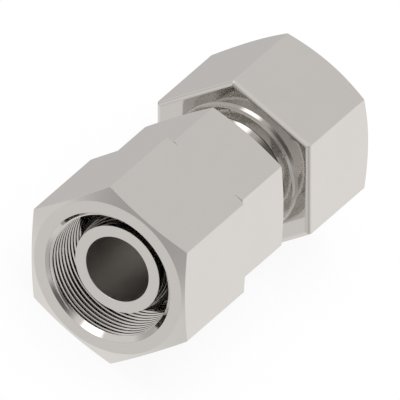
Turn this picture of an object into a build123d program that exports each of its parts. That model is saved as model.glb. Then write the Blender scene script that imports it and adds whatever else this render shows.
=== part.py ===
from build123d import *
import os
from math import cos, radians, tan

# Straight union for hydraulic tube of 25 mm outside diameter, heavy series.
# A turned and milled steel body has a hexagon in its middle and, at each end, a tapered nose of
# 24 degrees that carries a rubber sealing ring. A swivel nut M36 x 1.5 turns freely round each end.
# A split ring of round wire, half in the neck of the body and half in the nut, keeps each nut on.
# Millimetres. X runs along the tube's axis, the front end at -X. All hexagon flats face +Z and -Z.
# The origin is on the axis, half-way between the open faces of the two nuts.

# Nuts
nut_flats = 46.0
front_nut_length = 32.3
rear_nut_length = 31.1
nut_face_margin = 0.87
front_nut_chamfer = 18.0
rear_nut_chamfer = 29.5
rear_nut_edge_radius = 1.3
washer_face_height = 1.7
washer_face_width = 2.3
washer_face_chamfer = 0.4

# Thread in the nuts: plain bores at the minor diameter
thread_diameter = 36.0
thread_pitch = 1.5
countersink_margin = 0.75
thread_relief_margin = 0.25
thread_relief_length = 3.0
socket_depth = 22.5

# Hexagon of the body and the free stretches of neck beside it
body_flats = 41.0
body_hex_length = 22.5
body_face_margin = 0.5
body_hex_chamfer = 18.0
front_neck_gap = 1.2
rear_neck_gap = 7.2

# Ends of the body
nose_recess = 4.95
cone_half_angle = 12.0
cone_length = 10.4
cone_shoulder = 1.4
nose_face_width = 3.24
nose_edge_break = 0.25
neck_root_radius = 0.5

# Sealing rings and their grooves in the cones
seal_section = 2.4
seal_setback = 5.4
seal_proud = 0.6
seal_seat = 0.2
seal_side_play = 0.15

# Retaining rings of round wire
wire_diameter = 2.4
wire_side_play = 0.15
wire_radial_play = 0.2
wire_split_angle = 24.0

# Clearances
swivel_clearance = 0.3
thread_neck_clearance = 0.97

# Radii that follow from the thread, from the outside inwards
minor_radius = (thread_diameter - 1.0825 * thread_pitch) / 2
countersink_radius = thread_diameter / 2 + countersink_margin
relief_radius = thread_diameter / 2 + thread_relief_margin
neck_radius = minor_radius - thread_neck_clearance
nut_hole_radius = neck_radius + swivel_clearance
washer_face_radius = nut_hole_radius + washer_face_width
cone_end_radius = neck_radius - cone_shoulder
nose_radius = cone_end_radius - cone_length * tan(radians(cone_half_angle))
bore_radius = nose_radius - nose_face_width

# Places along X
rear_nut_total = washer_face_height + rear_nut_length
overall_length = front_nut_length + front_neck_gap + body_hex_length + rear_neck_gap + rear_nut_total
front_face_x = -overall_length / 2
rear_face_x = overall_length / 2
hex_start_x = front_face_x + front_nut_length + front_neck_gap
hex_end_x = hex_start_x + body_hex_length

# Grooves
seal_radius = nose_radius + seal_setback * tan(radians(cone_half_angle)) + seal_proud - seal_section / 2
seal_groove_radius = seal_radius - seal_section / 2 - seal_seat
seal_groove_half = seal_section / 2 + seal_side_play
wire_groove_half = wire_diameter / 2 + wire_side_play
wire_groove_radius = neck_radius - wire_diameter - wire_radial_play
nut_groove_radius = nut_hole_radius + wire_diameter / 2 + wire_radial_play


def turned(*outline):
    """Solid of revolution about X of a closed outline of (x, radius) points."""
    face = make_face(Polyline(*outline, close=True))
    return revolve(Plane.XZ * face, Axis.X, 360)


def corner_radius(flats):
    """Radius of the circle through the corners of a hexagon."""
    return flats / 2 / cos(radians(30))


def hexagon(x_start, length, flats):
    """Hexagonal prism along +X with flats at the top and bottom."""
    outline = RegularPolygon(flats / 2, 6, major_radius=False)
    return extrude(Plane.YZ.offset(x_start) * outline, length)


def chamfer_cone(x_face, inward, flats, margin, angle):
    """Tool that turns one end of a hexagon back to a circle inside its flats."""
    reach = corner_radius(flats) + 1
    face_radius = flats / 2 - margin
    depth = (reach - face_radius) * tan(radians(angle))
    return turned(
        (x_face, face_radius),
        (x_face + inward * depth, reach),
        (x_face - inward, reach),
        (x_face - inward, face_radius),
    )


def wire_centre(outer_x, inward, nut_length):
    """Where the wire lies: in the middle of the nut's closed end."""
    return outer_x + inward * (socket_depth + nut_length) / 2


def nut_cavity(outer_x, inward, nut_length):
    """Countersink, thread bore, relief, shoulder, neck hole and wire groove of one nut."""
    relief_step = relief_radius - minor_radius
    shoulder = relief_radius - nut_hole_radius
    wire_x = wire_centre(0, 1, nut_length)
    steps = [
        (-1, 0),
        (-1, countersink_radius + 1),
        (countersink_radius - minor_radius, minor_radius),
        (socket_depth - shoulder - thread_relief_length - relief_step, minor_radius),
        (socket_depth - shoulder - thread_relief_length, relief_radius),
        (socket_depth - shoulder, relief_radius),
        (socket_depth, nut_hole_radius),
        (wire_x - wire_groove_half, nut_hole_radius),
        (wire_x - wire_groove_half, nut_groove_radius),
        (wire_x + wire_groove_half, nut_groove_radius),
        (wire_x + wire_groove_half, nut_hole_radius),
        (nut_length + 1, nut_hole_radius),
        (nut_length + 1, 0),
    ]
    return turned(*[(outer_x + inward * depth, radius) for depth, radius in steps])


def front_nut():
    """Nut of the front end, turned to a chamfer on both ends."""
    blank = hexagon(front_face_x, front_nut_length, nut_flats)
    back_x = front_face_x + front_nut_length
    blank -= chamfer_cone(front_face_x, 1, nut_flats, nut_face_margin, front_nut_chamfer)
    blank -= chamfer_cone(back_x, -1, nut_flats, nut_face_margin, front_nut_chamfer)
    return blank - nut_cavity(front_face_x, 1, front_nut_length)


def rear_nut():
    """Nut of the rear end, with rounded hexagon edges and a washer face towards the body."""
    hex_x = rear_face_x - rear_nut_length
    washer_x = hex_x - washer_face_height
    blank = hexagon(hex_x, rear_nut_length, nut_flats)
    blank = fillet(blank.faces().sort_by(Axis.X)[0].edges(), rear_nut_edge_radius)
    blank -= chamfer_cone(rear_face_x, -1, nut_flats, nut_face_margin, rear_nut_chamfer)
    washer_face = turned(
        (washer_x, 0),
        (washer_x, washer_face_radius - washer_face_chamfer),
        (washer_x + washer_face_chamfer, washer_face_radius),
        (hex_x + rear_nut_edge_radius, washer_face_radius),
        (hex_x + rear_nut_edge_radius, 0),
    )
    return blank + washer_face - nut_cavity(rear_face_x, -1, rear_nut_total)


def stub(outer_x, inward, nut_length, root_x):
    """One end of the body: nose, cone, seal groove, neck and wire groove."""
    slope = tan(radians(cone_half_angle))
    nose_x = outer_x + inward * nose_recess
    wire_x = wire_centre(outer_x, inward, nut_length)
    root_depth = inward * (root_x - nose_x)
    wire_depth = inward * (wire_x - nose_x)
    seal_start = seal_setback - seal_groove_half
    seal_end = seal_setback + seal_groove_half
    steps = [
        (0, 0),
        (0, nose_radius - nose_edge_break),
        (nose_edge_break, nose_radius + nose_edge_break * slope),
        (seal_start, nose_radius + seal_start * slope),
        (seal_start, seal_groove_radius),
        (seal_end, seal_groove_radius),
        (seal_end, nose_radius + seal_end * slope),
        (cone_length, cone_end_radius),
        (cone_length + cone_shoulder, neck_radius),
        (wire_depth - wire_groove_half, neck_radius),
        (wire_depth - wire_groove_half, wire_groove_radius),
        (wire_depth + wire_groove_half, wire_groove_radius),
        (wire_depth + wire_groove_half, neck_radius),
        (root_depth - neck_root_radius, neck_radius),
        (root_depth, neck_radius + neck_root_radius),
        (root_depth + body_hex_length / 4, neck_radius + neck_root_radius),
        (root_depth + body_hex_length / 4, 0),
    ]
    return turned(*[(nose_x + inward * depth, radius) for depth, radius in steps])


def bore():
    """Through bore with a broken edge at each mouth."""
    mouth = bore_radius + nose_edge_break
    front_x = front_face_x + nose_recess
    rear_x = rear_face_x - nose_recess
    return turned(
        (front_x - 1, 0),
        (front_x - 1, mouth + 1),
        (front_x + nose_edge_break, bore_radius),
        (rear_x - nose_edge_break, bore_radius),
        (rear_x + 1, mouth + 1),
        (rear_x + 1, 0),
    )


def body():
    """Hexagon and both stubs in one piece, bored through."""
    solid = hexagon(hex_start_x, body_hex_length, body_flats)
    solid -= chamfer_cone(hex_start_x, 1, body_flats, body_face_margin, body_hex_chamfer)
    solid -= chamfer_cone(hex_end_x, -1, body_flats, body_face_margin, body_hex_chamfer)
    solid += stub(front_face_x, 1, front_nut_length, hex_start_x)
    solid += stub(rear_face_x, -1, rear_nut_total, hex_end_x)
    return solid - bore()


def seal_ring(outer_x, inward):
    """Rubber ring in the groove of a cone."""
    x = outer_x + inward * (nose_recess + seal_setback)
    return Pos(x, 0, 0) * Rot(0, 90, 0) * Torus(seal_radius, seal_section / 2)


def wire_ring(outer_x, inward, nut_length):
    """Split ring of round wire, half in the nut and half in the neck, its gap at the bottom."""
    x = wire_centre(outer_x, inward, nut_length)
    section = Plane.XZ * Pos(x, nut_hole_radius) * Circle(wire_diameter / 2)
    ring = revolve(section, Axis.X, 360 - wire_split_angle)
    return Rot(180 + wire_split_angle / 2, 0, 0) * ring


nodes = {
    "body": body(),
    "front_nut": front_nut(),
    "rear_nut": rear_nut(),
    "front_sealing_ring": seal_ring(front_face_x, 1),
    "rear_sealing_ring": seal_ring(rear_face_x, -1),
    "front_retaining_ring": wire_ring(front_face_x, 1, front_nut_length),
    "rear_retaining_ring": wire_ring(rear_face_x, -1, rear_nut_total),
}

os.makedirs("parts", exist_ok=True)
for name, shape in nodes.items():
    export_step(shape, f"parts/{name}.step")
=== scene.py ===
import math

import bpy
import numpy as np
from mathutils import Matrix, Vector


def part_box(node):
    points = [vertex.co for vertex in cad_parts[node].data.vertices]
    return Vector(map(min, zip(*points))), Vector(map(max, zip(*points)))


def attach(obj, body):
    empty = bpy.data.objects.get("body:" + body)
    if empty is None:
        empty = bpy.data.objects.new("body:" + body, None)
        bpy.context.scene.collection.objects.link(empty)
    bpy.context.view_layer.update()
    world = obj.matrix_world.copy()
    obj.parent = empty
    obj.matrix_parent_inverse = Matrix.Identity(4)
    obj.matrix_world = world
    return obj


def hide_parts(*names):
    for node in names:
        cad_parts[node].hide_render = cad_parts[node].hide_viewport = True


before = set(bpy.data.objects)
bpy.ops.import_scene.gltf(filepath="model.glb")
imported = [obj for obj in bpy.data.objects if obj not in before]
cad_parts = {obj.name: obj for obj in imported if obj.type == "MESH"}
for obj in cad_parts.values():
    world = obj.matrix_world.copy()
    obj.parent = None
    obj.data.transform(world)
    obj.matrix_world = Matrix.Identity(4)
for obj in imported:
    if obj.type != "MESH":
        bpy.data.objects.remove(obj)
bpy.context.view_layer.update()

# Body
# One piece of bright carbon steel, turned from hexagonal bar: the hexagon stays at full size in the
# middle, and both ends are turned down to a neck and a tapered nose, then bored right through.
MM = 0.001
body_low, body_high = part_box("body")
BODY_FLATS = body_high.z - body_low.z
HEX_START_X = -14.5 * MM
HEX_END_X = 8.0 * MM
HEX_FACE_RADIUS = 20.0 * MM
HEX_CHAMFER = math.radians(18)
BORE_RADIUS = 9.368 * MM
NOSE_RADIUS = 12.608 * MM
CONE_HALF_ANGLE = math.radians(12)
CONE_SLOPE = math.tan(CONE_HALF_ANGLE)
CONE_LENGTH = 10.4 * MM
SHOULDER = 1.4 * MM
NECK_RADIUS = 16.218 * MM
SEAL_DEPTH = 5.4 * MM
SEAL_HALF_GROOVE = 1.35 * MM
SEAL_GROOVE_RADIUS = 11.755 * MM
WIRE_HALF_GROOVE = 1.35 * MM
WIRE_GROOVE_RADIUS = 13.6175 * MM
FRONT_WIRE_X = -20.6 * MM
REAR_WIRE_X = 20.35 * MM

# How edges are broken: the bar's corners, turned edges, grooves, the bore's mouth, the neck's root
CORNER_ROUND = 0.35 * MM
EDGE_ROUND = 0.06 * MM
GROOVE_ROUND = 0.1 * MM
BORE_EDGE = 0.08 * MM
NECK_ROOT = 0.5 * MM

# How finely the mesh follows them, and the narrow band that keeps a face flat next to an edge
EDGE_STEPS = 4
EDGE_SHARE = 0.4
SIDE_STEPS = 34
CORNER_BAND = 2.5
FACE_MARGIN = 0.15 * MM
SHARP_ANGLE = math.radians(35)
JOIN_DISTANCE = 0.001 * MM


def hexagon_columns(flats):
    """Angles round the axis, and how far a hexagon with slightly rounded corners reaches at each.
    The first column comes again as the last, a full turn on."""
    apothem = flats / 2
    centre = (apothem - CORNER_ROUND) / math.cos(math.pi / 6)
    arc = math.atan2(CORNER_ROUND / 2, centre + CORNER_ROUND * math.cos(math.pi / 6))
    near = arc * CORNER_BAND
    side = math.pi / 3 - 2 * near
    offsets = [-near, -arc, -arc / 2, 0, arc / 2, arc, near]
    offsets += [near + side * i / SIDE_STEPS for i in range(1, SIDE_STEPS)]
    angles, reaches = [], []
    for corner in range(6):
        for offset in offsets:
            if abs(offset) <= arc:
                drop = centre * math.sin(offset)
                reach = centre * math.cos(offset) + math.sqrt(CORNER_ROUND ** 2 - drop ** 2)
            else:
                reach = apothem / math.cos(abs(offset) - math.pi / 6)
            angles.append(corner * math.pi / 3 + offset)
            reaches.append(reach)
    return np.array(angles + [angles[0] + 2 * math.pi]), np.array(reaches + [reaches[0]])


def eased(outline):
    """Closed outline of (x, radius, rounding) points with each corner rounded by a short arc."""
    points = []
    count = len(outline)
    for i, (x, r, rounding) in enumerate(outline):
        corner = np.array((x, r))
        if rounding == 0:
            points.append(corner)
            continue
        before = np.array(outline[i - 1][:2]) - corner
        after = np.array(outline[(i + 1) % count][:2]) - corner
        room = min(np.linalg.norm(before), np.linalg.norm(after))
        before, after = before / np.linalg.norm(before), after / np.linalg.norm(after)
        half = math.acos(max(-1.0, min(1.0, float(before @ after)))) / 2
        length = min(rounding / math.tan(half), EDGE_SHARE * room)
        radius = length * math.tan(half)
        bisector = (before + after) / np.linalg.norm(before + after)
        centre = corner + bisector * radius / math.sin(half)
        first = corner + before * length - centre
        last = corner + after * length - centre
        sweep = math.atan2(first[0] * last[1] - first[1] * last[0], float(first @ last))
        for step in range(EDGE_STEPS + 1):
            turn = sweep * step / EDGE_STEPS
            c, s = math.cos(turn), math.sin(turn)
            points.append(centre + (c * first[0] - s * first[1], s * first[0] + c * first[1]))
    return np.array(points)


def turned_mesh(name, angles, outlines):
    """Ring-shaped solid about X, from one closed outline of (x, radius) points for each column: up
    the front, back along the outside and forwards through the bore. The last column meets the
    first."""
    columns, rows = len(angles), len(outlines[0])
    points = np.zeros((columns, rows, 3))
    for i, (angle, outline) in enumerate(zip(angles, outlines)):
        points[i, :, 0] = outline[:, 0]
        points[i, :, 1] = outline[:, 1] * math.cos(angle)
        points[i, :, 2] = outline[:, 1] * math.sin(angle)
    faces = []
    for i in range(columns - 1):
        this, following = i * rows, (i + 1) * rows
        for j in range(rows):
            k = (j + 1) % rows
            faces.append((this + j, following + j, following + k, this + k))
    mesh = bpy.data.meshes.new(name)
    mesh.from_pydata(points.reshape(-1, 3).tolist(), [], faces)
    piece = bpy.data.objects.new(name, mesh)
    bpy.context.scene.collection.objects.link(piece)
    return piece


def add_socket(tree, name, kind, in_out="INPUT", default=None):
    """Named input or output of a node group."""
    item = tree.interface.new_socket(name=name, in_out=in_out, socket_type=kind)
    if default is not None:
        item.default_value = default


def add_node(tree, kind, *inputs, **settings):
    """New node with its settings. Its inputs are linked or set in order, None leaving one alone."""
    node = tree.nodes.new(kind)
    for key, value in settings.items():
        setattr(node, key, value)
    for target, value in zip(node.inputs, inputs):
        if isinstance(value, bpy.types.NodeSocket):
            tree.links.new(value, target)
        elif value is not None:
            target.default_value = value
    return node


def calc(tree, operation, *inputs, clamp=False):
    """Output of a Math node in a shader or geometry tree."""
    node = add_node(tree, "ShaderNodeMath", *inputs, operation=operation, use_clamp=clamp)
    return node.outputs[0]


def noise(tree, place, fineness, detail, roughness):
    """Output of a noise texture, its fineness in waves to the metre."""
    node = add_node(tree, "ShaderNodeTexNoise", place, None, fineness, detail, roughness)
    return node.outputs[0]


def run_group(piece, tree, **values):
    """Adds the geometry node group to the piece, with its named inputs set by their identifiers."""
    modifier = piece.modifiers.new(tree.name, "NODES")
    modifier.node_group = tree
    for item in tree.interface.items_tree:
        key = item.name.replace(" ", "_").lower()
        if item.in_out == "INPUT" and key in values:
            modifier[item.identifier] = values[key]


def finish_piece(piece):
    """Weights the normals so that flat faces look flat, and keeps the result as a plain mesh."""
    weighted = piece.modifiers.new("weighted_normals", "WEIGHTED_NORMAL")
    weighted.mode = "FACE_AREA"
    weighted.keep_sharp = True
    graph = bpy.context.evaluated_depsgraph_get()
    mesh = bpy.data.meshes.new_from_object(piece.evaluated_get(graph))
    piece.modifiers.clear()
    piece.data = mesh


def close_ring_group():
    """Geometry node group that joins a ring's last column to its first, shades it smooth except at
    sharp edges, and gives it its material."""
    tree = bpy.data.node_groups.new("close_ring", "GeometryNodeTree")
    add_socket(tree, "Geometry", "NodeSocketGeometry")
    add_socket(tree, "Join Distance", "NodeSocketFloat", default=JOIN_DISTANCE)
    add_socket(tree, "Material", "NodeSocketMaterial")
    add_socket(tree, "Geometry", "NodeSocketGeometry", "OUTPUT")
    start = add_node(tree, "NodeGroupInput")
    joined = add_node(tree, "GeometryNodeMergeByDistance")
    tree.links.new(start.outputs["Geometry"], joined.inputs["Geometry"])
    tree.links.new(start.outputs["Join Distance"], joined.inputs["Distance"])
    smooth = add_node(tree, "GeometryNodeSetShadeSmooth", joined.outputs[0])
    bend = add_node(tree, "GeometryNodeInputMeshEdgeAngle").outputs[0]
    sharp = add_node(tree, "FunctionNodeCompare", bend, SHARP_ANGLE, operation="GREATER_THAN")
    crisp = add_node(tree, "GeometryNodeSetShadeSmooth", smooth.outputs[0], sharp.outputs[0],
                     False, domain="EDGE")
    real = add_node(tree, "GeometryNodeRealizeInstances", crisp.outputs[0])
    painted = add_node(tree, "GeometryNodeSetMaterial", real.outputs[0])
    tree.links.new(start.outputs["Material"], painted.inputs["Material"])
    add_node(tree, "NodeGroupOutput", painted.outputs[0])
    return tree


# Tool marks: how fine the turned rings, the drawn lines and the soft clouds are, how much of a ring
# drifts in one turn, how far a line is drawn out, and how steep a face still counts as a side
RING_FINENESS = 7000.0
LINE_FINENESS = 5200.0
CLOUD_FINENESS = 60.0
RING_DRIFT = 0.0004
LINE_STRETCH = 0.012
SIDE_LEAN = 0.2
# How much they change the steel's roughness and brightness, and what a drilled bore changes
MARK_CHANGE = 0.05
CLOUD_CHANGE = 0.04
DRILLED_ROUGHER = 0.28
DRILLED_DARKER = 0.04


def machined_surface_group():
    """Shader group for turned and drawn steel. Turned faces, cones and bores carry fine rings, and
    the flats fine lines along the bar. Both show faintly in colour, roughness and height."""
    tree = bpy.data.node_groups.new("machined_surface", "ShaderNodeTree")
    add_socket(tree, "Color", "NodeSocketColor", default=(0.6, 0.6, 0.6, 1))
    add_socket(tree, "Roughness", "NodeSocketFloat", default=0.15)
    add_socket(tree, "Flat Radius", "NodeSocketFloat", default=0.02)
    add_socket(tree, "Bore Radius", "NodeSocketFloat", default=0.0)
    add_socket(tree, "Color", "NodeSocketColor", "OUTPUT")
    add_socket(tree, "Roughness", "NodeSocketFloat", "OUTPUT")
    add_socket(tree, "Height", "NodeSocketFloat", "OUTPUT")
    start = add_node(tree, "NodeGroupInput")
    place = add_node(tree, "ShaderNodeTexCoord").outputs["Object"]
    x, y, z = add_node(tree, "ShaderNodeSeparateXYZ", place).outputs

    squares = calc(tree, "ADD", calc(tree, "MULTIPLY", y, y), calc(tree, "MULTIPLY", z, z))
    radius = calc(tree, "SQRT", squares)
    drift = calc(tree, "MULTIPLY", calc(tree, "ARCTAN2", z, y), RING_DRIFT)
    ring_place = add_node(tree, "ShaderNodeCombineXYZ", x, radius, drift).outputs[0]
    rings = noise(tree, ring_place, RING_FINENESS, detail=2.0, roughness=0.6)
    drawn_x = calc(tree, "MULTIPLY", x, LINE_STRETCH)
    line_place = add_node(tree, "ShaderNodeCombineXYZ", drawn_x, y, z).outputs[0]
    lines = noise(tree, line_place, LINE_FINENESS, detail=2.0, roughness=0.6)

    normal = add_node(tree, "ShaderNodeNewGeometry").outputs["Normal"]
    facing = add_node(tree, "ShaderNodeSeparateXYZ", normal)
    side = calc(tree, "LESS_THAN", calc(tree, "ABSOLUTE", facing.outputs[0]), SIDE_LEAN)
    outer = calc(tree, "GREATER_THAN", radius, start.outputs["Flat Radius"])
    flat = calc(tree, "MULTIPLY", side, outer)
    marks = add_node(tree, "ShaderNodeMix", flat, data_type="FLOAT")
    tree.links.new(rings, marks.inputs[2])
    tree.links.new(lines, marks.inputs[3])
    clouds = noise(tree, place, CLOUD_FINENESS, detail=3.0, roughness=0.55)
    drilled = calc(tree, "LESS_THAN", radius, start.outputs["Bore Radius"])

    mark_change = calc(tree, "MULTIPLY_ADD", marks.outputs[0], MARK_CHANGE, -MARK_CHANGE / 2)
    cloud_change = calc(tree, "MULTIPLY_ADD", clouds, CLOUD_CHANGE, -CLOUD_CHANGE / 2)
    change = calc(tree, "ADD", mark_change, cloud_change)
    rough = calc(tree, "ADD", change, calc(tree, "MULTIPLY", drilled, DRILLED_ROUGHER))
    rough = calc(tree, "ADD", start.outputs["Roughness"], rough, clamp=True)
    shade = calc(tree, "ADD", change, 1.0)
    shade = calc(tree, "SUBTRACT", shade, calc(tree, "MULTIPLY", drilled, DRILLED_DARKER))
    tone = add_node(tree, "ShaderNodeVectorMath", start.outputs["Color"], operation="SCALE")
    tree.links.new(shade, tone.inputs["Scale"])
    end = add_node(tree, "NodeGroupOutput")
    tree.links.new(tone.outputs[0], end.inputs["Color"])
    tree.links.new(rough, end.inputs["Roughness"])
    tree.links.new(marks.outputs[0], end.inputs["Height"])
    return tree


machined_surface = machined_surface_group()
close_ring = close_ring_group()
STEEL_COLOR = (0.655, 0.640, 0.620, 1)
STEEL_ROUGHNESS = 0.08
STEEL_MARK_DEPTH = 0.0003 * MM
SURFACE_MARGIN = 0.1 * MM


def steel(name, color, roughness, flat_radius, mark_depth, bore_radius=0.0):
    """Bare steel whose tool marks come from the shared group. Sides beyond flat_radius carry drawn
    lines, and what lies inside bore_radius is drilled."""
    material = bpy.data.materials.new(name)
    material.use_nodes = True
    tree = material.node_tree
    shader = tree.nodes["Principled BSDF"]
    shader.inputs["Metallic"].default_value = 1.0
    surface = add_node(tree, "ShaderNodeGroup", node_tree=machined_surface)
    surface.inputs["Color"].default_value = color
    surface.inputs["Roughness"].default_value = roughness
    surface.inputs["Flat Radius"].default_value = flat_radius
    surface.inputs["Bore Radius"].default_value = bore_radius
    bump = add_node(tree, "ShaderNodeBump")
    bump.inputs["Strength"].default_value = 1.0
    bump.inputs["Distance"].default_value = mark_depth
    tree.links.new(surface.outputs["Height"], bump.inputs["Height"])
    tree.links.new(surface.outputs["Color"], shader.inputs["Base Color"])
    tree.links.new(surface.outputs["Roughness"], shader.inputs["Roughness"])
    tree.links.new(bump.outputs[0], shader.inputs["Normal"])
    return material


body_steel = steel("body_steel", STEEL_COLOR, STEEL_ROUGHNESS, BODY_FLATS / 2 - SURFACE_MARGIN,
                   STEEL_MARK_DEPTH, BORE_RADIUS + SURFACE_MARGIN)


def stub_outline(wire_depth, root_depth):
    """One end of the body as (depth behind the nose, radius, rounding) points, bore mouth first."""
    seal_start, seal_end = SEAL_DEPTH - SEAL_HALF_GROOVE, SEAL_DEPTH + SEAL_HALF_GROOVE
    wire_start, wire_end = wire_depth - WIRE_HALF_GROOVE, wire_depth + WIRE_HALF_GROOVE
    return [
        (BORE_EDGE, BORE_RADIUS, 0),
        (0, BORE_RADIUS + BORE_EDGE, 0),
        (0, BORE_RADIUS + BORE_EDGE + FACE_MARGIN, 0),
        (0, NOSE_RADIUS - FACE_MARGIN, 0),
        (0, NOSE_RADIUS, EDGE_ROUND),
        (seal_start, NOSE_RADIUS + seal_start * CONE_SLOPE, GROOVE_ROUND),
        (seal_start, SEAL_GROOVE_RADIUS, GROOVE_ROUND),
        (seal_end, SEAL_GROOVE_RADIUS, GROOVE_ROUND),
        (seal_end, NOSE_RADIUS + seal_end * CONE_SLOPE, GROOVE_ROUND),
        (CONE_LENGTH, NOSE_RADIUS + CONE_LENGTH * CONE_SLOPE, GROOVE_ROUND),
        (CONE_LENGTH + SHOULDER, NECK_RADIUS, GROOVE_ROUND),
        (wire_start, NECK_RADIUS, 0),
        (wire_start, WIRE_GROOVE_RADIUS, 0),
        (wire_end, WIRE_GROOVE_RADIUS, 0),
        (wire_end, NECK_RADIUS, 0),
        (root_depth, NECK_RADIUS, NECK_ROOT),
    ]


def body_outline(reach):
    """The whole body in the column where the hexagon reaches that far."""
    chamfer = (reach - HEX_FACE_RADIUS) * math.tan(HEX_CHAMFER)
    front = stub_outline(FRONT_WIRE_X - body_low.x, HEX_START_X - body_low.x)
    rear = stub_outline(body_high.x - REAR_WIRE_X, body_high.x - HEX_END_X)
    points = [(body_low.x + depth, radius, rounding) for depth, radius, rounding in front]
    points += [
        (HEX_START_X, HEX_FACE_RADIUS, EDGE_ROUND),
        (HEX_START_X + chamfer, reach, EDGE_ROUND),
        (HEX_END_X - chamfer, reach, EDGE_ROUND),
        (HEX_END_X, HEX_FACE_RADIUS, EDGE_ROUND),
    ]
    points += [(body_high.x - depth, radius, rounding) for depth, radius, rounding in rear[::-1]]
    return eased(points)


body_angles, body_reaches = hexagon_columns(BODY_FLATS)
body = turned_mesh("turned_body", body_angles, [body_outline(reach) for reach in body_reaches])
run_group(body, close_ring, join_distance=JOIN_DISTANCE, material=body_steel)
finish_piece(body)
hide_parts("body")
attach(body, "fitting_body")

# Sealing rings
# Black rubber O-rings of round section, stretched into the grooves of the two cones. Each stands a
# little proud of its cone, and the mating cone squeezes it flush.
SEAL_SECTION = 2.4 * MM
SEAL_RING_RADIUS = 13.155 * MM
SEAL_SECTION_STEPS = 24
SEAL_RING_STEPS = 144
# The rubber's two tones, its moulded grain, and the film of grease that changes its roughness
RUBBER_DARK = (0.010, 0.010, 0.011, 1)
RUBBER_LIGHT = (0.028, 0.027, 0.027, 1)
RUBBER_ROUGHNESS = 0.3
GRAIN_FINENESS = 9000.0
GRAIN_DEPTH = 0.004 * MM
FILM_FINENESS = 250.0
FILM_CHANGE = 0.25


def round_section_ring_group():
    """Geometry node group that sweeps a circle round the X axis: one ring of round section."""
    tree = bpy.data.node_groups.new("round_section_ring", "GeometryNodeTree")
    add_socket(tree, "Ring Radius", "NodeSocketFloat", default=0.01)
    add_socket(tree, "Section Radius", "NodeSocketFloat", default=0.001)
    add_socket(tree, "Place X", "NodeSocketFloat", default=0.0)
    add_socket(tree, "Ring Steps", "NodeSocketInt", default=SEAL_RING_STEPS)
    add_socket(tree, "Section Steps", "NodeSocketInt", default=SEAL_SECTION_STEPS)
    add_socket(tree, "Material", "NodeSocketMaterial")
    add_socket(tree, "Geometry", "NodeSocketGeometry", "OUTPUT")
    start = add_node(tree, "NodeGroupInput")
    path = add_node(tree, "GeometryNodeCurvePrimitiveCircle")
    tree.links.new(start.outputs["Ring Steps"], path.inputs["Resolution"])
    tree.links.new(start.outputs["Ring Radius"], path.inputs["Radius"])
    section = add_node(tree, "GeometryNodeCurvePrimitiveCircle")
    tree.links.new(start.outputs["Section Steps"], section.inputs["Resolution"])
    tree.links.new(start.outputs["Section Radius"], section.inputs["Radius"])
    swept = add_node(tree, "GeometryNodeCurveToMesh", path.outputs[0], section.outputs[0])
    place = add_node(tree, "ShaderNodeCombineXYZ")
    tree.links.new(start.outputs["Place X"], place.inputs[0])
    moved = add_node(tree, "GeometryNodeTransform", swept.outputs[0])
    tree.links.new(place.outputs[0], moved.inputs["Translation"])
    moved.inputs["Rotation"].default_value = (0, math.pi / 2, 0)
    smooth = add_node(tree, "GeometryNodeSetShadeSmooth", moved.outputs[0])
    real = add_node(tree, "GeometryNodeRealizeInstances", smooth.outputs[0])
    painted = add_node(tree, "GeometryNodeSetMaterial", real.outputs[0])
    tree.links.new(start.outputs["Material"], painted.inputs["Material"])
    add_node(tree, "NodeGroupOutput", painted.outputs[0])
    return tree


def rubber(name):
    """Black nitrile rubber: satin, with a fine moulded grain and a trace of grease."""
    material = bpy.data.materials.new(name)
    material.use_nodes = True
    tree = material.node_tree
    shader = tree.nodes["Principled BSDF"]
    place = add_node(tree, "ShaderNodeTexCoord").outputs["Object"]
    grain = noise(tree, place, GRAIN_FINENESS, detail=3.0, roughness=0.6)
    film = noise(tree, place, FILM_FINENESS, detail=2.0, roughness=0.5)
    tones = add_node(tree, "ShaderNodeValToRGB", grain)
    tones.color_ramp.elements[0].color = RUBBER_DARK
    tones.color_ramp.elements[1].color = RUBBER_LIGHT
    tree.links.new(tones.outputs[0], shader.inputs["Base Color"])
    rough = calc(tree, "MULTIPLY_ADD", film, FILM_CHANGE, RUBBER_ROUGHNESS)
    tree.links.new(rough, shader.inputs["Roughness"])
    bump = add_node(tree, "ShaderNodeBump")
    bump.inputs["Distance"].default_value = GRAIN_DEPTH
    tree.links.new(grain, bump.inputs["Height"])
    tree.links.new(bump.outputs[0], shader.inputs["Normal"])
    return material


round_section_ring = round_section_ring_group()
seal_rubber = rubber("seal_rubber")
for end, outward in (("front", -1), ("rear", 1)):
    nose_x = body_high.x if outward > 0 else body_low.x
    seal = bpy.data.objects.new(f"{end}_o_ring", bpy.data.meshes.new(f"{end}_o_ring"))
    bpy.context.scene.collection.objects.link(seal)
    run_group(seal, round_section_ring, ring_radius=SEAL_RING_RADIUS,
              section_radius=SEAL_SECTION / 2, place_x=nose_x - outward * SEAL_DEPTH,
              ring_steps=SEAL_RING_STEPS, section_steps=SEAL_SECTION_STEPS, material=seal_rubber)
    finish_piece(seal)
    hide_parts(f"{end}_sealing_ring")
    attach(seal, "fitting_body")

# Retaining rings
# Split rings of round spring wire, hidden where each nut's closed end turns on the neck. Their CAD
# shape is already the real one, so they only take their finish: drawn wire, darker than the nuts.
WIRE_COLOR = (0.30, 0.29, 0.28, 1)
WIRE_ROUGHNESS = 0.32
WIRE_MARK_DEPTH = 0.0008 * MM
NO_FLATS = 1.0
spring_wire = steel("spring_wire", WIRE_COLOR, WIRE_ROUGHNESS, NO_FLATS, WIRE_MARK_DEPTH)
for end in ("front", "rear"):
    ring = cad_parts[f"{end}_retaining_ring"]
    ring.data.materials.clear()
    ring.data.materials.append(spring_wire)

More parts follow.
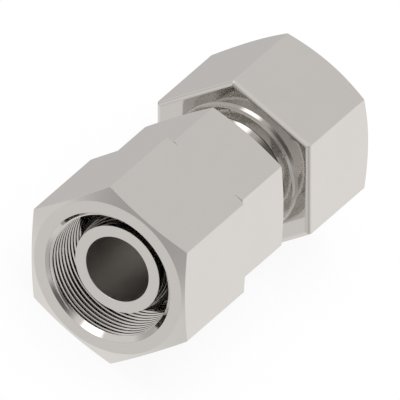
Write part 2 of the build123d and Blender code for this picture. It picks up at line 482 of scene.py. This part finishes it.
# Nut thread
# The inside of both nuts is cut after turning: a countersink, a fine right-hand thread with its
# crests left flat, a relief groove at its end and a shoulder that closes down to the neck hole.
THREAD_PITCH = 1.5 * MM
THREAD_MAJOR = 18.0 * MM
# Shares of one pitch: the flat crest, and each flank of the 60 degree groove
CREST_SHARE = 0.375
FLANK_SHARE = 0.25
FLANK_ANGLE = math.radians(30)
THREAD_DEPTH = THREAD_PITCH * FLANK_SHARE / math.tan(FLANK_ANGLE)
THREAD_MINOR = THREAD_MAJOR - THREAD_DEPTH
ROWS_PER_PITCH = 16
MOUTH_RADIUS = 18.75 * MM
RELIEF_RADIUS = 18.25 * MM
RELIEF_LENGTH = 3.0 * MM
SOCKET_DEPTH = 22.5 * MM
SWIVEL_CLEARANCE = 0.12 * MM
NUT_GROOVE_DEPTH = 1.4 * MM
NECK_HOLE_RADIUS = NECK_RADIUS + SWIVEL_CLEARANCE
NUT_GROOVE_RADIUS = NECK_HOLE_RADIUS + NUT_GROOVE_DEPTH
RELIEF_DEPTH = SOCKET_DEPTH - (RELIEF_RADIUS - NECK_HOLE_RADIUS) - RELIEF_LENGTH
THREAD_END = RELIEF_DEPTH - (RELIEF_RADIUS - THREAD_MINOR)


def cut_thread_group():
    """Geometry node group that cuts a thread into the bore of a nut blank. Each bore row carries
    its depth at the first column, and each column its share of a turn, so that rows follow the
    helix."""
    tree = bpy.data.node_groups.new("cut_thread", "GeometryNodeTree")
    add_socket(tree, "Geometry", "NodeSocketGeometry")
    add_socket(tree, "Pitch", "NodeSocketFloat", default=THREAD_PITCH)
    add_socket(tree, "Major Radius", "NodeSocketFloat", default=THREAD_MAJOR)
    add_socket(tree, "Minor Radius", "NodeSocketFloat", default=THREAD_MINOR)
    add_socket(tree, "Mouth Radius", "NodeSocketFloat", default=MOUTH_RADIUS)
    add_socket(tree, "End Depth", "NodeSocketFloat", default=THREAD_END)
    add_socket(tree, "Crest Share", "NodeSocketFloat", default=CREST_SHARE)
    add_socket(tree, "Flank Share", "NodeSocketFloat", default=FLANK_SHARE)
    add_socket(tree, "Material", "NodeSocketMaterial")
    add_socket(tree, "Geometry", "NodeSocketGeometry", "OUTPUT")
    start = add_node(tree, "NodeGroupInput")
    pitch, major = start.outputs["Pitch"], start.outputs["Major Radius"]
    minor, mouth = start.outputs["Minor Radius"], start.outputs["Mouth Radius"]
    end_depth = start.outputs["End Depth"]

    def attribute(name):
        node = add_node(tree, "GeometryNodeInputNamedAttribute", data_type="FLOAT")
        node.inputs["Name"].default_value = name
        return node.outputs["Attribute"]

    row, turn, bored = attribute("row_depth"), attribute("turn"), attribute("bored")

    # How deep the groove is at this row, from 0 on the crest to 1 at the root
    phase = calc(tree, "FLOORED_MODULO", calc(tree, "DIVIDE", row, pitch), 1.0)
    crest, flank = start.outputs["Crest Share"], start.outputs["Flank Share"]
    rise = calc(tree, "DIVIDE", calc(tree, "SUBTRACT", phase, crest), flank)
    fall = calc(tree, "DIVIDE", calc(tree, "SUBTRACT", 1.0, phase), flank)
    groove = calc(tree, "MINIMUM", rise, fall, clamp=True)
    height = calc(tree, "SUBTRACT", major, minor)
    cut = calc(tree, "ADD", minor, calc(tree, "MULTIPLY", groove, height))

    # The row moves back by one pitch a turn, and both ends of the thread are cut off square
    reached = calc(tree, "MULTIPLY_ADD", turn, pitch, row)
    depth = calc(tree, "MAXIMUM", calc(tree, "MINIMUM", reached, end_depth), 0.0)
    inside = calc(tree, "LESS_THAN", reached, end_depth)
    kept = calc(tree, "MULTIPLY", inside, calc(tree, "SUBTRACT", cut, minor))
    cut = calc(tree, "ADD", minor, kept)

    # The countersink opens the first turns
    sunk = calc(tree, "SUBTRACT", mouth, depth)
    radius = calc(tree, "MAXIMUM", cut, sunk)
    radius = calc(tree, "MINIMUM", radius, calc(tree, "MAXIMUM", major, sunk))

    place = add_node(tree, "GeometryNodeInputPosition").outputs[0]
    across = add_node(tree, "ShaderNodeVectorMath", place, (0, 1, 1), operation="MULTIPLY")
    out = add_node(tree, "ShaderNodeVectorMath", across.outputs[0], operation="NORMALIZE")
    radial = add_node(tree, "ShaderNodeVectorMath", out.outputs[0], operation="SCALE")
    tree.links.new(radius, radial.inputs["Scale"])
    along = add_node(tree, "ShaderNodeCombineXYZ", depth)
    target = add_node(tree, "ShaderNodeVectorMath", radial.outputs[0], along.outputs[0],
                      operation="ADD")
    moved = add_node(tree, "GeometryNodeSetPosition")
    tree.links.new(start.outputs["Geometry"], moved.inputs["Geometry"])
    tree.links.new(bored, moved.inputs["Selection"])
    tree.links.new(target.outputs[0], moved.inputs["Position"])
    closed = add_node(tree, "GeometryNodeGroup", moved.outputs[0], node_tree=close_ring)
    tree.links.new(start.outputs["Material"], closed.inputs["Material"])
    closed.inputs["Join Distance"].default_value = JOIN_DISTANCE
    real = add_node(tree, "GeometryNodeRealizeInstances", closed.outputs[0])
    painted = add_node(tree, "GeometryNodeSetMaterial", real.outputs[0])
    tree.links.new(start.outputs["Material"], painted.inputs["Material"])
    add_node(tree, "NodeGroupOutput", painted.outputs[0])
    return tree


def threaded_nut(name, length, flats, outer, material):
    """A nut in its own frame, open face at zero and depth along +X. outer gives the outside of one
    column, from the mouth to the back, for the hexagon's reach there."""
    wire_depth = (SOCKET_DEPTH + length) / 2
    back = [
        (length, NECK_HOLE_RADIUS, 0),
        (wire_depth + WIRE_HALF_GROOVE, NECK_HOLE_RADIUS, 0),
        (wire_depth + WIRE_HALF_GROOVE, NUT_GROOVE_RADIUS, 0),
        (wire_depth - WIRE_HALF_GROOVE, NUT_GROOVE_RADIUS, 0),
        (wire_depth - WIRE_HALF_GROOVE, NECK_HOLE_RADIUS, 0),
        (SOCKET_DEPTH, NECK_HOLE_RADIUS, 0),
        (SOCKET_DEPTH - (RELIEF_RADIUS - NECK_HOLE_RADIUS), RELIEF_RADIUS, 0),
        (RELIEF_DEPTH, RELIEF_RADIUS, 0),
    ]
    step = THREAD_PITCH / ROWS_PER_PITCH
    last = math.ceil(THREAD_END / step)
    rows = [i * step for i in range(last, -ROWS_PER_PITCH - 1, -1)]
    angles, reaches = hexagon_columns(flats)
    shells = [eased(outer(reach) + back) for reach in reaches]
    bore = np.array([(max(0.0, min(row, THREAD_END)), THREAD_MINOR) for row in rows])
    nut = turned_mesh(name, angles, [np.vstack((shell, bore)) for shell in shells])
    shell_rows = len(shells[0])
    row_depth = np.array([0.0] * shell_rows + rows)
    bored = np.array([0.0] * shell_rows + [1.0] * len(rows))
    turns = (angles - angles[0]) / (2 * math.pi)
    values = {
        "row_depth": np.tile(row_depth, len(angles)),
        "bored": np.tile(bored, len(angles)),
        "turn": np.repeat(turns, len(row_depth)),
    }
    for key, data in values.items():
        nut.data.attributes.new(key, "FLOAT", "POINT").data.foreach_set("value", data)
    run_group(nut, cut_thread, pitch=THREAD_PITCH, major_radius=THREAD_MAJOR,
              minor_radius=THREAD_MINOR, mouth_radius=MOUTH_RADIUS, end_depth=THREAD_END,
              crest_share=CREST_SHARE, flank_share=FLANK_SHARE, material=material)
    finish_piece(nut)
    return nut


cut_thread = cut_thread_group()

# Front nut
# Swivel nut of hexagonal bar, turned back to a circle at both ends by a shallow chamfer of 18
# degrees. Its open face and its flats are bright, and it turns freely on the neck.
front_low, front_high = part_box("front_nut")
front_length = front_high.x - front_low.x
NUT_FLATS = front_high.z - front_low.z
NUT_FACE_MARGIN = 0.87 * MM
NUT_FACE_RADIUS = NUT_FLATS / 2 - NUT_FACE_MARGIN
FRONT_CHAMFER = math.radians(18)
nut_steel = steel("nut_steel", STEEL_COLOR, STEEL_ROUGHNESS, NUT_FLATS / 2 - SURFACE_MARGIN,
                  STEEL_MARK_DEPTH)


def open_face(chamfer, reach):
    """Outside of a nut's open end, from the countersink's mouth to where the chamfer ends."""
    return [
        (0, MOUTH_RADIUS, EDGE_ROUND),
        (0, MOUTH_RADIUS + FACE_MARGIN, 0),
        (0, NUT_FACE_RADIUS - FACE_MARGIN, 0),
        (0, NUT_FACE_RADIUS, EDGE_ROUND),
        (chamfer, reach, EDGE_ROUND),
    ]


def front_outer(reach):
    """Outside of the front nut in the column where the hexagon reaches that far."""
    chamfer = (reach - NUT_FACE_RADIUS) * math.tan(FRONT_CHAMFER)
    return open_face(chamfer, reach) + [
        (front_length - chamfer, reach, EDGE_ROUND),
        (front_length, NUT_FACE_RADIUS, EDGE_ROUND),
        (front_length, NUT_FACE_RADIUS - FACE_MARGIN, 0),
    ]


front_nut = threaded_nut("front_swivel_nut", front_length, NUT_FLATS, front_outer, nut_steel)
front_nut.data.transform(Matrix.Translation((front_low.x, 0, 0)))
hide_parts("front_nut")
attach(front_nut, "front_swivel_nut")

# Rear nut
# The same thread in a nut of another outline: a steeper turned chamfer round its open end, and
# towards the body rounded hexagon edges and a low washer face, slightly crowned, whose side
# narrows a little towards the hexagon.
rear_low, rear_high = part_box("rear_nut")
rear_length = rear_high.x - rear_low.x
REAR_CHAMFER = math.radians(29.5)
HEX_EDGE_RADIUS = 1.3 * MM
HEX_EDGE_STEPS = 8
WASHER_HEIGHT = 1.7 * MM
WASHER_RADIUS = 18.818 * MM
WASHER_ROOT_RADIUS = 18.68 * MM
WASHER_CROWN = 0.3 * MM
WASHER_ROUND = 0.04 * MM


def rear_outer(reach):
    """Outside of the rear nut in the column where the hexagon reaches that far."""
    chamfer = (reach - NUT_FACE_RADIUS) * math.tan(REAR_CHAMFER)
    hex_length = rear_length - WASHER_HEIGHT
    stretch = reach / (NUT_FLATS / 2)
    points = open_face(chamfer, reach)
    for step in range(HEX_EDGE_STEPS + 1):
        turn = math.pi / 2 * step / HEX_EDGE_STEPS
        drop = HEX_EDGE_RADIUS * (1 - math.cos(turn))
        depth = hex_length - HEX_EDGE_RADIUS + HEX_EDGE_RADIUS * math.sin(turn)
        points.append((depth, reach - drop * stretch, 0))
    points.append((hex_length, points[-1][1] - FACE_MARGIN, 0))
    return points + [
        (hex_length, WASHER_ROOT_RADIUS + FACE_MARGIN, 0),
        (hex_length, WASHER_ROOT_RADIUS, 0),
        (rear_length - WASHER_CROWN, WASHER_RADIUS, WASHER_ROUND),
        (rear_length, NECK_HOLE_RADIUS + FACE_MARGIN, 0),
    ]


rear_nut = threaded_nut("rear_swivel_nut", rear_length, NUT_FLATS, rear_outer, nut_steel)
turned_round = Matrix.Rotation(math.pi, 4, "Y")
rear_nut.data.transform(Matrix.Translation((rear_high.x, 0, 0)) @ turned_round)
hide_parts("rear_nut")
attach(rear_nut, "rear_swivel_nut")

# Floor, light and camera
# A plain pale floor in plain soft studio light. The view is from the front and above, square to no
# face and without perspective. It is rolled, so the fitting seems to stand on a hexagon corner.
FLOOR_RADIUS = 3.0
FLOOR_SIDES = 96
FLOOR_COLOR = (0.95, 0.95, 0.95, 1)
FLOOR_GLOW = 0.9
WHITE = (1.0, 1.0, 1.0, 1)
WHITE_LEVEL = 1.0

floor_mesh = bpy.data.meshes.new("floor")
floor_angles = [2 * math.pi * i / FLOOR_SIDES for i in range(FLOOR_SIDES)]
floor_rim = [(FLOOR_RADIUS * math.cos(a), FLOOR_RADIUS * math.sin(a), front_low.z)
             for a in floor_angles]
floor_mesh.from_pydata(floor_rim, [], [tuple(range(FLOOR_SIDES))])
floor = bpy.data.objects.new("floor", floor_mesh)
bpy.context.scene.collection.objects.link(floor)

# The camera sees the floor mostly as white background, with the fitting's shadow on it, and the
# steel sees through it to the studio
floor_paint = bpy.data.materials.new("floor_paint")
floor_paint.use_nodes = True
tree = floor_paint.node_tree
tree.nodes.clear()
rays = add_node(tree, "ShaderNodeLightPath")
matt = add_node(tree, "ShaderNodeBsdfDiffuse", FLOOR_COLOR)
glow = add_node(tree, "ShaderNodeEmission", WHITE, WHITE_LEVEL)
clear = add_node(tree, "ShaderNodeBsdfTransparent", WHITE)
share = calc(tree, "MULTIPLY", rays.outputs["Is Camera Ray"], FLOOR_GLOW)
seen = add_node(tree, "ShaderNodeMixShader", share, matt.outputs[0], glow.outputs[0])
passed = add_node(tree, "ShaderNodeMixShader", rays.outputs["Is Glossy Ray"], seen.outputs[0],
                  clear.outputs[0])
add_node(tree, "ShaderNodeOutputMaterial", passed.outputs[0])
floor.data.materials.append(floor_paint)

STUDIO_LEVEL = 0.87
STUDIO_TINT = (1.0, 0.975, 0.96, 1)
AMBIENT_LEVEL = 0.75
# Soft lighter and darker areas of the studio as metal mirrors them: the direction of each, its
# width in degrees, and the strength that it adds at its middle
SOFT_AREAS = (
    ((0.75, -0.60, -0.20), 45, 0.15),
    ((0.75, 0.50, -0.43), 40, -0.23),
    ((0.75, 0.12, 0.65), 35, -0.07),
    ((-1.00, 0.10, -0.10), 40, -0.36),
    ((-0.20, 0.10, -0.97), 40, 0.15),
    ((-0.58, 0.44, 0.65), 17, 2.00),
    ((-0.62, -0.42, 0.66), 32, -0.70),
    ((-0.10, 0.85, -0.48), 30, -0.30),
    ((-0.45, -0.88, -0.10), 35, -0.28),
)

studio = bpy.data.worlds.new("studio")
studio.use_nodes = True
bpy.context.scene.world = studio
tree = studio.node_tree
tree.nodes.clear()
direction = add_node(tree, "ShaderNodeTexCoord").outputs["Generated"]
level = STUDIO_LEVEL
for towards, width, strength in SOFT_AREAS:
    axis = tuple(Vector(towards).normalized())
    close = add_node(tree, "ShaderNodeVectorMath", direction, axis, operation="DOT_PRODUCT")
    edge = math.cos(math.radians(width))
    spread = add_node(tree, "ShaderNodeMapRange", close.outputs["Value"], edge, 1.0, 0.0, strength,
                      interpolation_type="SMOOTHSTEP")
    level = calc(tree, "ADD", level, spread.outputs[0])
rays = add_node(tree, "ShaderNodeLightPath")
mirrored = add_node(tree, "ShaderNodeBackground", STUDIO_TINT)
tree.links.new(level, mirrored.inputs["Strength"])
ambient = add_node(tree, "ShaderNodeBackground", WHITE, AMBIENT_LEVEL)
backdrop = add_node(tree, "ShaderNodeBackground", WHITE, WHITE_LEVEL)
lit = add_node(tree, "ShaderNodeMixShader", rays.outputs["Is Glossy Ray"], ambient.outputs[0],
               mirrored.outputs[0])
shown = add_node(tree, "ShaderNodeMixShader", rays.outputs["Is Camera Ray"], lit.outputs[0],
                 backdrop.outputs[0])
add_node(tree, "ShaderNodeOutputWorld", shown.outputs[0])

SOFTBOX_PLACE = (0.05, 0.15, 0.9)
SOFTBOX_SIZE = 0.8
SOFTBOX_POWER = 4.0
softbox_light = bpy.data.lights.new("overhead_softbox", "AREA")
softbox_light.size = SOFTBOX_SIZE
softbox_light.energy = SOFTBOX_POWER
softbox = bpy.data.objects.new("overhead_softbox", softbox_light)
bpy.context.scene.collection.objects.link(softbox)
softbox.location = SOFTBOX_PLACE
softbox.visible_glossy = False
softbox.rotation_mode = "QUATERNION"
softbox.rotation_quaternion = (-Vector(SOFTBOX_PLACE)).to_track_quat("-Z", "Y")

# The front nut's open face has its centre at MOUTH_PIXEL, counted from the frame's top left
PIXELS = 400
PIXELS_PER_METRE = 3850.0
MOUTH_PIXEL = (107.65, 277.63)
VIEW_FROM = Vector((-0.75, -0.125, 0.6495))
VIEW_UP = Vector((0.433, 0.6495, 0.625))
VIEW_RIGHT = Vector((0.5, -0.75, 0.433))
CAMERA_DISTANCE = 0.6
camera_data = bpy.data.cameras.new("photo_view")
camera_data.type = "ORTHO"
camera_data.ortho_scale = PIXELS / PIXELS_PER_METRE
camera = bpy.data.objects.new("photo_view", camera_data)
bpy.context.scene.collection.objects.link(camera)
mouth = Vector((front_low.x, 0, 0))
right_of_mouth = (PIXELS / 2 - MOUTH_PIXEL[0]) / PIXELS_PER_METRE
above_mouth = (MOUTH_PIXEL[1] - PIXELS / 2) / PIXELS_PER_METRE
view_centre = mouth + VIEW_RIGHT * right_of_mouth + VIEW_UP * above_mouth
view_turn = Matrix((VIEW_RIGHT, VIEW_UP, VIEW_FROM)).transposed().to_4x4()
camera.matrix_world = Matrix.Translation(view_centre + VIEW_FROM * CAMERA_DISTANCE) @ view_turn
bpy.context.scene.camera = camera
bpy.context.scene.view_settings.view_transform = "Standard"

# Light goes back and forth many times in the narrow gaps between bright steel faces
MIRROR_BOUNCES = 24
bpy.context.scene.cycles.max_bounces = MIRROR_BOUNCES
bpy.context.scene.cycles.glossy_bounces = MIRROR_BOUNCES
